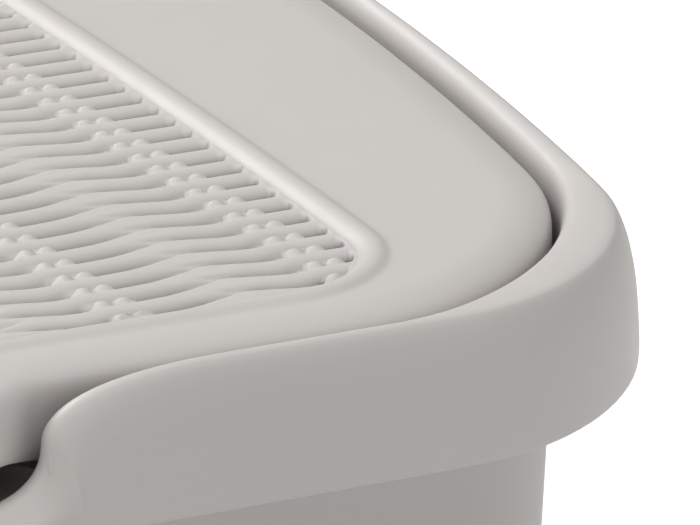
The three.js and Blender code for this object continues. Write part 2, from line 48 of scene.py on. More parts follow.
# ---- Driving sizes, in millimetres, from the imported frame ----

rim_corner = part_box("top_rim")[1]
HALF_WIDTH = rim_corner.x / MM
HALF_LENGTH = rim_corner.y / MM
CREST = rim_corner.z / MM
SIDE_BOW = 0.17  # share of the half width that is lost at the ends
CORNER_RADIUS = 52
LEAST_RADIUS = 28
RIM_HEIGHT = 23
DIP_DEPTH = 18.5
LEDGE = 374
LEDGE_THICKNESS = 2.5
WALL = 2.5
WALL_INSET = 17
WALL_TAPER = 0.06
PAN_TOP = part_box("litter_pan")[1].z / MM
LID_TOP = 389
LID_REAR = 226
LID_INSET = 12
LID_HALF_WIDTH = 195.2
LID_FRONT = -259
LID_CORNER = 57
LID_BOW = 0.186
DECK_FRONT = 233.6
PANEL_BOW = 0.09
PANEL_HALF_WIDTH = 138.2
PANEL_RADIUS = 20
PANEL_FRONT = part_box("woven_panel")[0].y / MM + 1.4
PANEL_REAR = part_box("woven_panel")[1].y / MM
WEAVE_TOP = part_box("woven_panel")[1].z / MM
LID_AXIS = (222, 380)  # y and z
HINGE_X = 100
HINGE_RADIUS = 5.5
CLIP_AXIS = (184.8, 158)  # x and z
DOOR_Y = -244
DOOR_AXIS_Z = 318

# ---- Camera, lights and floor ----

CAMERA_TURN = math.radians(-27.5)
CAMERA_RISE = math.radians(18.5)
CAMERA_DISTANCE = 1.122
CAMERA_LENS = 375
CAMERA_TARGET = Vector((0.124, -0.2358, 0.389))
ROOM_LIGHT = 0.14


def add_camera():
    back = Vector((
        math.sin(CAMERA_TURN) * math.cos(CAMERA_RISE),
        -math.cos(CAMERA_TURN) * math.cos(CAMERA_RISE),
        math.sin(CAMERA_RISE),
    ))
    data = bpy.data.cameras.new("camera")
    data.lens = CAMERA_LENS
    data.sensor_width = 36
    data.clip_start = 0.05
    data.clip_end = 60
    camera = bpy.data.objects.new("camera", data)
    camera.location = CAMERA_TARGET + back * CAMERA_DISTANCE
    camera.rotation_euler = back.to_track_quat("Z", "Y").to_euler()
    bpy.context.scene.collection.objects.link(camera)
    bpy.context.scene.camera = camera


def add_softbox(name, place, aim, size, watts):
    data = bpy.data.lights.new(name, "AREA")
    data.shape = "RECTANGLE"
    data.size, data.size_y = size
    data.energy = watts
    light = bpy.data.objects.new(name, data)
    light.location = place
    light.rotation_euler = (Vector(place) - Vector(aim)).to_track_quat("Z", "Y").to_euler()
    bpy.context.scene.collection.objects.link(light)


def add_studio():
    add_softbox("overhead_softbox", (-0.1, -0.2, 2.2), (0, 0, 0.3), (2.6, 2.6), 38)
    add_softbox("back_softbox", (-0.5, 2.0, 1.8), (0, 0, 0.35), (1.4, 0.9), 29)
    add_softbox("left_softbox", (-2.4, 0.1, 1.0), (0, 0, 0.3), (0.9, 1.2), 10)
    world = bpy.data.worlds.new("studio")
    world.use_nodes = True
    background = world.node_tree.nodes["Background"]
    background.inputs["Color"].default_value = (1, 1, 1, 1)
    background.inputs["Strength"].default_value = ROOM_LIGHT
    bpy.context.scene.world = world
    bpy.context.scene.view_settings.view_transform = "Standard"


# ---- Shader maths ----


class Value:
    """A shader socket that can be used in a sum: each operator adds the node that works it out."""

    def __init__(self, tree, socket):
        self.tree = tree
        self.socket = socket

    def maths(self, operation, *others):
        sheet = Sheet(self.tree)
        return sheet.node("ShaderNodeMath", {"operation": operation}, [self, *others])

    def __add__(self, other):
        return self.maths("ADD", other)

    def __radd__(self, other):
        return self.maths("ADD", other)

    def __sub__(self, other):
        return self.maths("SUBTRACT", other)

    def __rsub__(self, other):
        return Sheet(self.tree).node("ShaderNodeMath", {"operation": "SUBTRACT"}, [other, self])

    def __mul__(self, other):
        return self.maths("MULTIPLY", other)

    def __rmul__(self, other):
        return self.maths("MULTIPLY", other)

    def clamped(self):
        return self.maths("MAXIMUM", 0.0).maths("MINIMUM", 1.0)


class Sheet:
    """A material's node tree."""

    def __init__(self, tree):
        self.tree = tree

    def node(self, kind, settings=None, inputs=None, output=0):
        made = self.tree.nodes.new(kind)
        for key, setting in (settings or {}).items():
            if key == "stops":
                for element, (place, colour) in zip(made.color_ramp.elements, setting):
                    element.position = place
                    element.color = colour
            else:
                setattr(made, key, setting)
        pairs = enumerate(inputs) if isinstance(inputs, (list, tuple)) else (inputs or {}).items()
        for key, what in pairs:
            if isinstance(what, Value):
                self.tree.links.new(what.socket, made.inputs[key])
            elif what is not None:
                made.inputs[key].default_value = what
        return Value(self.tree, made.outputs[output])

    def place(self):
        return self.node("ShaderNodeTexCoord", output="Object")

    def noise(self, per_metre, detail=3.0, roughness=0.5, stretch=None):
        where = self.place()
        if stretch:
            where = self.node("ShaderNodeVectorMath", {"operation": "MULTIPLY"}, [where, stretch])
        inputs = {"Vector": where, "Scale": per_metre, "Detail": detail, "Roughness": roughness}
        return self.node("ShaderNodeTexNoise", None, inputs)

    def cells(self, per_metre):
        return self.node("ShaderNodeTexVoronoi", None, {"Vector": self.place(), "Scale": per_metre})

    def ramp(self, value, low, high):
        """0 below low, 1 above high."""
        inputs = {"Value": value, "From Min": low, "From Max": high}
        return self.node("ShaderNodeMapRange", None, inputs)

    def mix(self, share, first, second):
        inputs = {0: share, 6: first, 7: second}
        return self.node("ShaderNodeMix", {"data_type": "RGBA"}, inputs, output=2)

    def creases(self, reach):
        """1 deep in a crease, 0 on open surface."""
        inputs = {"Distance": reach}
        return 1 - self.node("ShaderNodeAmbientOcclusion", {"samples": 4}, inputs, output="AO")

    def bump(self, height, strength, distance, under=None):
        inputs = {"Strength": strength, "Distance": distance, "Height": height, "Normal": under}
        return self.node("ShaderNodeBump", None, inputs)


def material(name, constants):
    made = bpy.data.materials.new(name)
    made.use_nodes = True
    shader = made.node_tree.nodes["Principled BSDF"]
    for key, value in constants.items():
        shader.inputs[key].default_value = value
    return made, Sheet(made.node_tree), shader


def feed(sheet, shader, **sockets):
    for key, value in sockets.items():
        sheet.tree.links.new(value.socket, shader.inputs[key.replace("_", " ")])


def shade(colour, factor):
    return (colour[0] * factor, colour[1] * factor, colour[2] * factor, 1)


WARM_GREY = (0.615, 0.585, 0.562)


def moulded_plastic(name, colour=WARM_GREY, roughness=0.44, grain=0.05, wear=0.5, painted_shade=0.3):
    """Satin polypropylene: a fine spark-eroded grain, a faint cloudy tone, flow marks, a few rubbed spots,
    and painted shade that darkens its creases."""
    constants = {"IOR": 1.49, "Coat Roughness": 0.35, "Specular IOR Level": 0.42}
    made, sheet, shader = material(name, constants)
    clouds = sheet.noise(9, 3)
    flow = sheet.noise(26, 2, 0.6, (1.0, 0.18, 1.0))
    speck = sheet.ramp(sheet.noise(900, 1), 0.74, 0.8)
    rubbed = sheet.ramp(sheet.noise(60, 5, 0.7), 0.56, 0.75) * wear
    tone = (clouds * 0.6 + flow * 0.4).clamped()
    base = sheet.mix(tone, shade(colour, 0.965), shade(colour, 1.03))
    base = sheet.mix(speck * 0.25, base, shade(colour, 0.8))
    base = sheet.mix(rubbed * 0.12, base, shade(colour, 1.12))
    # Painted shade: ambient occlusion darkens creases and grooves towards a near-black copy of the colour.
    crease_shade_mask = sheet.ramp(sheet.creases(0.006), 0.15, 0.7) * painted_shade
    base = sheet.mix(crease_shade_mask, base, shade(colour, 0.16))
    gloss = roughness + (sheet.noise(140, 3) - 0.5) * 0.12 - rubbed * 0.08
    fine = sheet.noise(4200, 2, 0.6)
    coarse = sheet.noise(1500, 2, 0.5)
    normal = sheet.bump(fine * 0.55 + coarse * 0.45, grain, 0.00025)
    normal = sheet.bump(sheet.noise(34, 2), 0.04, 0.0012, normal)
    feed(sheet, shader, Base_Color=base, Roughness=gloss.clamped(), Normal=normal)
    return made


def frosted_plastic(name):
    """Smoky see-through door plastic with a fine frost and paler scuffs."""
    colour = (0.60, 0.61, 0.60)
    constants = {"IOR": 1.49, "Specular IOR Level": 0.5, "Transmission Weight": 0.25}
    made, sheet, shader = material(name, constants)
    scuffs = sheet.ramp(sheet.noise(70, 6, 0.7, (0.2, 1.0, 1.6)), 0.55, 0.72)
    frost = sheet.noise(2600, 2)
    base = sheet.mix(scuffs * 0.4, shade(colour, 0.95), shade(colour, 1.2))
    feed(
        sheet,
        shader,
        Base_Color=base,
        Roughness=(0.22 + scuffs * 0.22 + frost * 0.06).clamped(),
        Alpha=(0.5 + scuffs * 0.12 + frost * 0.04).clamped(),
        Normal=sheet.bump(frost, 0.06, 0.0002),
    )
    return made


def carbon_felt(name):
    """Needled felt full of carbon: matted fibres and needle dimples, its colour lighter where the bumps are
    high and darker in the dimples.
    """
    made, sheet, shader = material(name, {"Sheen Weight": 0.35, "Sheen Roughness": 0.6})
    fibres = sheet.noise(1900, 5, 0.75, (1.0, 0.25, 1.0))
    cross = sheet.noise(1700, 5, 0.75, (0.25, 1.0, 1.0))
    dimples = sheet.cells(420)
    height = fibres * 0.5 + cross * 0.3 + dimples * 0.2
    base = sheet.mix(height.clamped(), (0.012, 0.012, 0.013, 1), (0.07, 0.068, 0.066, 1))
    feed(
        sheet,
        shader,
        Base_Color=base,
        Roughness=(0.86 + fibres * 0.12).clamped(),
        Normal=sheet.bump(height, 0.7, 0.0008),
    )
    return made


def soft_rubber(name):
    """Grey moulded rubber with a dry, dusty surface."""
    colour = (0.13, 0.128, 0.122)
    made, sheet, shader = material(name, {"IOR": 1.5})
    dust = sheet.ramp(sheet.noise(180, 5, 0.7), 0.45, 0.7)
    base = sheet.mix(dust * 0.6, shade(colour, 0.85), shade(colour, 1.7))
    feed(
        sheet,
        shader,
        Base_Color=base,
        Roughness=(0.72 + dust * 0.2).clamped(),
        Normal=sheet.bump(sheet.noise(2400, 3), 0.12, 0.0003),
    )
    return made


MATERIALS = {
    "pan_plastic": moulded_plastic("pan_plastic", shade(WARM_GREY, 0.98), 0.46, 0.07, 0.8),
    "hood_plastic": moulded_plastic("hood_plastic", WARM_GREY, 0.45, 0.06, 0.5),
    "rim_plastic": moulded_plastic("rim_plastic", WARM_GREY, 0.43, 0.045, 0.35),
    "lid_plastic": moulded_plastic("lid_plastic", shade(WARM_GREY, 1.01), 0.44, 0.05, 0.3),
    # The weave gets the full painted shade in its grooves.
    "weave_plastic": moulded_plastic("weave_plastic", shade(WARM_GREY, 1.0), 0.5, 0.05, 0.2, 1.0),
    "trim_plastic": moulded_plastic("trim_plastic", shade(WARM_GREY, 0.97), 0.4, 0.04, 0.6),
    "clip_plastic": moulded_plastic("clip_plastic", shade(WARM_GREY, 0.99), 0.38, 0.04, 0.9),
    "pin_plastic": moulded_plastic("pin_plastic", shade(WARM_GREY, 0.9), 0.33, 0.02, 0.9),
    "door_plastic": frosted_plastic("door_plastic"),
    "carbon_filter": carbon_felt("carbon_filter"),
    "foot_rubber": soft_rubber("foot_rubber"),
}

# ---- Meshes ----


def piece(name, verts, faces, slot, body, stands_for=(), smooth_steps=0, crease_angle=None):
    """A mesh in millimetres becomes a named piece, in metres, on its body."""
    mesh = bpy.data.meshes.new(name)
    mesh.from_pydata([(x * MM, y * MM, z * MM) for x, y, z in verts], [], faces)
    return finished(name, mesh, slot, body, stands_for, smooth_steps, crease_angle)


def finished(name, mesh, slot, body, stands_for=(), smooth_steps=0, crease_angle=None):
    mesh.validate()
    outward(mesh)
    mesh.polygons.foreach_set("use_smooth", [True] * len(mesh.polygons))
    made = bpy.data.objects.new(name, mesh)
    bpy.context.scene.collection.objects.link(made)
    made.data.materials.append(MATERIALS[slot])
    if smooth_steps:
        modifier = made.modifiers.new("smooth", "SUBSURF")
        modifier.levels = modifier.render_levels = smooth_steps
        applied(made)
    if crease_angle is not None:
        made.data.set_sharp_from_angle(angle=math.radians(crease_angle))
    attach(made, body)
    if stands_for:
        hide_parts(*stands_for)
    return made


def applied(made):
    """Swaps the mesh for the one that its modifiers give."""
    bpy.context.view_layer.update()
    shown = made.evaluated_get(bpy.context.evaluated_depsgraph_get())
    mesh = bpy.data.meshes.new_from_object(shown)
    made.modifiers.clear()
    made.data = mesh


def bevelled(made, width, segments=3, angle=35):
    modifier = made.modifiers.new("edges", "BEVEL")
    modifier.width = width * MM
    modifier.segments = segments
    modifier.limit_method = "ANGLE"
    modifier.angle_limit = math.radians(angle)
    modifier.harden_normals = False
    applied(made)
    made.data.polygons.foreach_set("use_smooth", [True] * len(made.data.polygons))
    made.data.set_sharp_from_angle(angle=math.radians(40))
    return made


def cut(made, cutter):
    modifier = made.modifiers.new("cut", "BOOLEAN")
    modifier.operation = "DIFFERENCE"
    modifier.solver = "EXACT"
    modifier.object = cutter
    applied(made)
    bpy.data.objects.remove(cutter)
    made.data.set_sharp_from_angle(angle=math.radians(32))


def tool(name, verts, faces):
    """A closed mesh to cut with."""
    mesh = bpy.data.meshes.new(name)
    mesh.from_pydata([(x * MM, y * MM, z * MM) for x, y, z in verts], [], faces)
    outward(mesh)
    made = bpy.data.objects.new(name, mesh)
    bpy.context.scene.collection.objects.link(made)
    return made


def outward(mesh):
    """Joins doubled corners and turns every face outward."""
    shell = bmesh.new()
    shell.from_mesh(mesh)
    bmesh.ops.remove_doubles(shell, verts=shell.verts, dist=1e-6)
    bmesh.ops.recalc_face_normals(shell, faces=shell.faces)
    shell.to_mesh(mesh)
    shell.free()


def solid_blocks(name, blocks):
    """Boxes given by two corners, in millimetres, as one loose mesh for cutting."""
    cutter = bmesh.new()
    for low, high in blocks:
        corners = bmesh.ops.create_cube(cutter, size=1)["verts"]
        size = (Vector(high) - Vector(low)) * MM
        middle = (Vector(high) + Vector(low)) * MM / 2
        bmesh.ops.scale(cutter, verts=corners, vec=size)
        bmesh.ops.translate(cutter, verts=corners, vec=middle)
    mesh = bpy.data.meshes.new(name)
    cutter.to_mesh(mesh)
    cutter.free()
    made = bpy.data.objects.new(name, mesh)
    bpy.context.scene.collection.objects.link(made)
    return made


def loft(rows, closed):
    """Rows of points, each a ring of the same length, joined by squares. A closed loft joins the last row
    to the first; an open one is capped."""
    count = len(rows[0])
    verts = [point for row in rows for point in row]
    faces = []
    spans = len(rows) if closed else len(rows) - 1
    for j in range(spans):
        k = (j + 1) % len(rows)
        for i in range(count):
            n = (i + 1) % count
            faces.append((j * count + i, j * count + n, k * count + n, k * count + i))
    if not closed:
        faces.append(tuple(range(count))[::-1])
        faces.append(tuple(range((len(rows) - 1) * count, len(rows) * count)))
    return verts, faces


def slab(outline, low, high, axis="z"):
    """An outline given a thickness along an axis."""
    lay = {
        "z": lambda a, b, c: (a, b, c),
        "y": lambda a, b, c: (a, c, b),
        "x": lambda a, b, c: (c, a, b),
    }[axis]
    return loft([[lay(a, b, c) for a, b in outline] for c in (low, high)], False)


def arc(cx, cy, radius, start, end, steps=10):
    angles = [math.radians(start + (end - start) * i / steps) for i in range(steps + 1)]
    return [(cx + radius * math.cos(a), cy + radius * math.sin(a)) for a in angles]


def rounded(x0, y0, x1, y1, radius, steps=6):
    return (
        arc(x1 - radius, y0 + radius, radius, -90, 0, steps)
        + arc(x1 - radius, y1 - radius, radius, 0, 90, steps)
        + arc(x0 + radius, y1 - radius, radius, 90, 180, steps)
        + arc(x0 + radius, y0 + radius, radius, 180, 270, steps)
    )


def turned(profile, place, axis="z", steps=40):
    """A profile of (radius, height) pairs turned about an axis through a place."""
    rows = []
    for radius, height in profile:
        ring = []
        for i in range(steps):
            a = 2 * math.pi * i / steps
            u, v = radius * math.cos(a), radius * math.sin(a)
            turn = {"z": (u, v, height), "x": (height, u, v), "y": (v, height, u)}[axis]
            ring.append(tuple(p + t for p, t in zip(place, turn)))
        rows.append(ring)
    return loft(rows, False)


def smoothstep(value, low, high):
    t = np.clip((value - low) / (high - low), 0, 1)
    return t * t * (3 - 2 * t)


# ---- The box's outline, with the stations of the dip in its front ----

DIP_FOOT = 47.3  # where the bottom of the dip starts to rise
DIP_HOLLOW = (11, 7.5)  # half axes of the hollow curve at the foot
DIP_SHOULDER = (32, 11)  # half axes of the rounded shoulder above it
DIP_SQUARENESS = 0.77  # 1 for an ellipse, less for a squarer shoulder
ARC_STEPS = 12
SIDE_STEPS = 22


def dip_stations():
    """Across half the front: x, how deep the rim has dipped, and the direction into its material."""
    stations = [(x, DIP_DEPTH, 0, -1) for x in (0, 12, 24, 34, 40)]
    for i in range(8):
        a = math.pi / 2 * i / 7
        wide, tall = DIP_HOLLOW
        nx, nz = tall * math.sin(a), -wide * math.cos(a)
        length = math.hypot(nx, nz)
        stations.append((
            DIP_FOOT + wide * math.sin(a),
            DIP_SHOULDER[1] + tall * math.cos(a),
            nx / length,
            nz / length,
        ))
    for i in range(1, 15):
        a = math.pi / 2 * i / 14
        across = max(math.cos(a), 0) ** DIP_SQUARENESS
        up = math.sin(a) ** DIP_SQUARENESS
        wide, tall = DIP_SHOULDER
        nx, nz = tall * math.cos(a), -wide * math.sin(a)
        length = math.hypot(nx, nz)
        stations.append((
            DIP_FOOT + DIP_HOLLOW[0] + wide * (1 - across),
            tall * (1 - up),
            nx / length,
            nz / length,
        ))
    return stations + [(98, 0, 0, -1), (107, 0, 0, -1)]


STATIONS = dip_stations()


def outline(half_width, front, rear, front_radius, rear_radius, bow):
    """A rounded rectangle with bowed long sides, anticlockwise from the middle of the front.
    Each point is x, y, dip depth and the dip's direction."""

    def bowed(x, y):
        return (x * (1 - bow * (y / HALF_LENGTH) ** 2), y, 0, 0, -1)

    side_start = front + front_radius
    side_end = rear - rear_radius
    front_arc = arc(half_width - front_radius, side_start, front_radius, -90, 0, ARC_STEPS)
    rear_arc = arc(half_width - rear_radius, side_end, rear_radius, 0, 90, ARC_STEPS)
    right = [(x, front, depth, nx, nz) for x, depth, nx, nz in STATIONS]
    right += [bowed(x, y) for x, y in front_arc]
    for i in range(1, SIDE_STEPS):
        right.append(bowed(half_width, side_start + (side_end - side_start) * i / SIDE_STEPS))
    right += [bowed(x, y) for x, y in rear_arc]
    back_end = right[-1][0]
    right += [(back_end * share, rear, 0, 0, -1) for share in (0.66, 0.33, 0)]
    left = [(-x, y, depth, -nx, nz) for x, y, depth, nx, nz in right[1:-1]]
    return right + left[::-1]


def box_outline(inset, rear=None, rear_radius=None):
    radius = max(CORNER_RADIUS - inset, LEAST_RADIUS)
    return outline(
        HALF_WIDTH - inset,
        inset - HALF_LENGTH,
        HALF_LENGTH - inset if rear is None else rear,
        radius,
        radius if rear_radius is None else rear_radius,
        SIDE_BOW,
    )


def lid_outline(inset, rear=LID_REAR, rear_radius=12):
    """The lid's corners are rounder than the box's."""
    further = inset - LID_INSET
    return outline(
        LID_HALF_WIDTH - further,
        LID_FRONT + further,
        rear - further,
        LID_CORNER - further,
        rear_radius,
        LID_BOW,
    )


def panel_outline(margin):
    radius = PANEL_RADIUS + margin
    front, rear = PANEL_FRONT - margin, PANEL_REAR + margin
    return outline(PANEL_HALF_WIDTH + margin, front, rear, radius, radius, PANEL_BOW)


def level(points, z, dipped=None, roll=0.0):
    """A ring at one height, or at a second height along the bottom of the dip. Where the dip climbs, the
    ring keeps its distance from the dip's curve, by roll, instead of dropping straight down."""
    ring = []
    for x, y, depth, nx, nz in points:
        share = depth / DIP_DEPTH
        height = z if dipped is None else z + (dipped - z) * share
        ring.append((x + nx * roll, y, height + (nz + 1) * roll))
    return ring


def wall_inset(z):
    return WALL_INSET + (CREST - RIM_HEIGHT - z) * WALL_TAPER


# ---- Rim with its rear deck and hinge lugs ----


def make_rim():
    low = CREST - RIM_HEIGHT
    dipped = CREST - DIP_DEPTH
    # The fascia: inset, depth below the crest, and the same depth along the bottom of the dip.
    fascia = [
        (0.0, RIM_HEIGHT - 1.4, 4.0),
        (0.1, 18.0, 3.8),
        (0.4, 14.0, 3.5),
        (0.85, 10.2, 3.1),
        (1.45, 7.4, 2.7),
        (2.15, 5.0, 2.2),
        (2.9, 3.1, 1.6),
        (3.7, 1.6, 1.0),
        (4.6, 0.5, 0.35),
        (5.6, 0.0, 0.0),
    ]
    # The inner side of the roll follows the lid's edge: its gap to it, and the same two depths.
    inner_roll = [
        (3.6, 0.6, 0.3),
        (2.2, 2.0, 1.0),
        (1.4, 4.6, 2.2),
        (1.1, 9.5, 3.2),
        (1.0, 14.6, 3.6),
        (0.6, 15.0, 4.0),
    ]
    # The ledge under the lid and the hollow under the roll: inset, height, and height along the dip.
    under = [
        (21.6, LEDGE, 368),
        (22, LEDGE - 0.4, 367.6),
        (22, LEDGE - 2.2, 365.8),
        (21.6, LEDGE - LEDGE_THICKNESS, 365.5),
        (7.6, LEDGE - LEDGE_THICKNESS, 365.5),
        (7.3, LEDGE, 367),
        (7.0, CREST - 6, 368.2),
        (5.6, CREST - 2.6, 369.4),
        (4.2, CREST - 4.2, 369),
        (3.3, CREST - 9, 368.4),
        (2.6, low + 1.2, low + 0.9),
        (2.4, low, low),
        (0.5, low, low),
    ]
    rows = [level(box_outline(0.15), low + 0.05)]
    for inset, drop, dip_drop in fascia:
        rows.append(level(box_outline(inset), CREST - drop, dipped - dip_drop, dip_drop))
    for gap, drop, dip_drop in inner_roll:
        inner = lid_outline(LID_INSET - gap, HALF_LENGTH - LID_INSET + gap - 1, 40)
        rows.append(level(inner, CREST - drop, dipped - dip_drop, dip_drop))
    for inset, z, dip_z in under:
        rows.append(level(box_outline(inset), z, dip_z))
    verts, faces = loft(rows, True)
    rim = piece("rolled_rim", verts, faces, "rim_plastic", "base", ["top_rim"], 1)
    # The ledge is open beside the hinges, so that the back of the lid can turn down.
    below, above = 360, LEDGE + 0.8
    wide_gap = ((-168, 211.5, below), (168, 240, above))
    narrow_gap = ((-150, 236, below), (150, 252, above))
    cut(rim, solid_blocks("hinge_gap", [wide_gap, narrow_gap]))
    return rim


def make_deck():
    inner = [(p[0], p[1]) for p in box_outline(9.0)]
    behind = [p for p in inner if p[1] > DECK_FRONT + 0.5]
    edge = max(x for x, y in inner if abs(y - DECK_FRONT) < 6)
    verts, faces = slab([(edge, DECK_FRONT)] + behind + [(-edge, DECK_FRONT)], CREST - 3, CREST)
    bevelled(piece("rear_deck", verts, faces, "rim_plastic", "base"), 0.7)
    wall = rounded(-edge + 2, DECK_FRONT, edge - 2, DECK_FRONT + WALL, 1.1)
    verts, faces = slab(wall, LEDGE - 1, CREST - 2.4)
    piece("deck_wall", verts, faces, "rim_plastic", "base", crease_angle=40)
    y, z = LID_AXIS
    for side in (-1, 1):
        for end in (-1, 1):
            x = side * HINGE_X + end * 10.1
            profile = arc(y, z, HINGE_RADIUS, 90, 270, 18)
            profile += [(235, z - HINGE_RADIUS), (235, z + 1.5), (y + 3, z + 4.6)]
            verts, faces = slab(profile, x - 2, x + 2, "x")
            word = ("left", "right")[side > 0] + ("_outer", "_inner")[side * end < 0]
            bevelled(piece(f"hinge_lug_{word}", verts, faces, "rim_plastic", "base"), 0.5)


# ---- Hood ----


def doorway(margin, steps=14):
    x = 90 + margin
    low, high = 142 - margin, 326 + margin
    big, small = 40 + margin, 6 + max(margin, 0)
    return (
        arc(x - big, low + big, big, -90, 0, steps)
        + arc(x - small, high - small, small, 0, 90, steps)
        + arc(small - x, high - small, small, 90, 180, steps)
        + arc(big - x, low + big, big, 180, 270, steps)
    )


def make_hood():
    top = LEDGE - LEDGE_THICKNESS - 0.3
    base = PAN_TOP + 0.3
    flange = base + 3
    tongue = wall_inset(base) + WALL + 0.6
    tongue_end = wall_inset(base - 13) + WALL + 0.6
    levels = [
        (tongue_end + WALL, base - 12.6, None),
        (tongue_end + WALL - 0.5, base - 13, None),
        (tongue_end + 0.5, base - 13, None),
        (tongue_end, base - 12.6, None),
        (tongue, base - 0.1, None),
        (tongue - 0.2, base, None),
        (24.5, base, None),
        (24, base + 0.5, None),
        (24, flange - 0.5, None),
        (24.6, flange, None),
        (wall_inset(flange) - 1.4, flange, None),
        (wall_inset(flange), flange + 1.6, None),
        (wall_inset(220), 220, None),
        (wall_inset(300), 300, 298),
        (wall_inset(top), top - 0.2, top - 6.2),
        (wall_inset(top) + 0.3, top, top - 6),
        (wall_inset(top) + WALL - 0.3, top, top - 6),
        (wall_inset(top) + WALL, top - 0.2, top - 6.2),
        (wall_inset(300) + WALL, 300, 298),
        (wall_inset(220) + WALL, 220, None),
        (tongue + WALL, flange + 2.5, None),
    ]
    verts, faces = loft([level(box_outline(i), z, d) for i, z, d in levels], True)
    hood = piece("hood_wall", verts, faces, "hood_plastic", "base", ["hood_shell"])
    hood.data.set_sharp_from_angle(angle=math.radians(35))
    cut(hood, tool("doorway_tool", *slab(doorway(9.2), -HALF_LENGTH, -200, "y")))
    x, z = CLIP_AXIS
    root = HALF_WIDTH - wall_inset(z) - 1.2
    for side in (-1, 1):
        for end in (-1, 1):
            y = end * 28.6
            profile = [(root, z - 8), (x, z - 6)] + arc(x, z, 6, -75, 75, 14)
            profile += [(x, z + 6), (root, z + 8)]
            verts, faces = slab([(side * a, b) for a, b in profile], y - 2, y + 2, "y")
            word = f"{('left', 'right')[side > 0]}_{('front', 'rear')[end > 0]}"
            bevelled(piece(f"clip_ear_{word}", verts, faces, "hood_plastic", "base"), 0.6)
    return hood


# ---- Pan and feet ----

FOOT_PLACES = [(side * 105, end * 175) for side in (-1, 1) for end in (-1, 1)]


def make_pan():
    under = PAN_TOP - 3
    levels = [
        (160, 6),
        (60, 6),
        (wall_inset(6) + 8, 6),
        (wall_inset(6) + 2.2, 6.8),
        (wall_inset(6) + 0.4, 9),
        (wall_inset(14), 14),
        (wall_inset(70), 70),
        (wall_inset(under - 2.5), under - 2.5),
        (wall_inset(under) - 1.8, under),
        (27.2, under),
        (26.5, under - 1),
        (26.5, under - 9.6),
        (26.1, under - 10),
        (24.4, under - 10),
        (24, under - 9.6),
        (24, PAN_TOP - 0.8),
        (24.8, PAN_TOP),
        (wall_inset(PAN_TOP) + WALL - 0.6, PAN_TOP),
        (wall_inset(PAN_TOP) + WALL, PAN_TOP - 0.6),
        (wall_inset(70) + WALL, 70),
        (wall_inset(18) + WALL, 18),
        (wall_inset(12) + WALL + 1, 12),
        (wall_inset(9) + WALL + 4, 9.2),
        (wall_inset(9) + WALL + 10, 8.5),
        (60, 8.5),
        (160, 8.5),
    ]
    verts, faces = loft([level(box_outline(i), z) for i, z in levels], False)
    pan = piece("litter_tray", verts, faces, "pan_plastic", "base", ["litter_pan"], crease_angle=35)
    # Radius and height, from the inside of each boss and foot to the outside.
    boss = [(13.4, 6.4), (13.4, 2.4), (13.9, 2), (15.6, 2), (16.1, 2.5), (16.6, 6.4)]
    sole = [(4, 4), (12.6, 4), (13, 3.4), (12.7, 1), (11.9, 0.1)]
    sole += [(11, 0), (8.6, 0), (8.2, 0.5), (3.4, 0.5), (3, 0)]
    for x, y in FOOT_PLACES:
        word = f"{('front', 'rear')[y > 0]}_{('left', 'right')[x > 0]}"
        rows = turned(boss, (x, y, 0), steps=48)
        piece(f"foot_boss_{word}", *rows, "pan_plastic", "base", crease_angle=40)
        rows = turned(sole, (x, y, 0), steps=48)
        piece(f"soft_foot_{word}", *rows, "foot_rubber", "base", [f"foot_{word}"], crease_angle=50)
    return pan


# ---- Lid ----

SHOULDER = 14
BEAD_REACH = 6.2
LIP_END = 56
LIP_EASE = 5
LIP_RISE = 1.8  # of the lip's underside, at its ends
LIP_UNDERSIDE = 378


def mixed_ring(inset, z, lip_inset=None, lip_z=None):
    """A ring of the lid, which changes to the pull lip's inset and height in the middle of the front."""
    ring = []
    front = LID_FRONT + inset - LID_INSET
    for x, y, *_ in lid_outline(inset):
        if lip_z is None or abs(y - front) > 0.01:
            ring.append((x, y, z))
            continue
        share = 1 - float(smoothstep(abs(x), LIP_END - LIP_EASE, LIP_END + LIP_EASE))
        lip_y = lip_inset - HALF_LENGTH
        lip_height = lip_z
        if lip_z < LIP_UNDERSIDE:
            lip_height += LIP_RISE * float(smoothstep(abs(x), LIP_END - 12, LIP_END))
        ring.append((x, y + (lip_y - y) * share, z + (lip_height - z) * share))
    return ring


def plate_ring(share, z, lip_inset=None, lip_z=None):
    """A ring of the lid's plate: share 0 at the lid's edge, 1 where its soft shoulder meets the flat."""
    edge = mixed_ring(LID_INSET, z, lip_inset, lip_z)
    inner = panel_outline(BEAD_REACH)
    ring = []
    for (x, y, height), (px, py, *_) in zip(edge, inner):
        gap = math.hypot(px - x, py - y)
        reach = min(SHOULDER, gap * 0.93) * share / gap
        ring.append((x + (px - x) * reach, y + (py - y) * reach, height))
    return ring


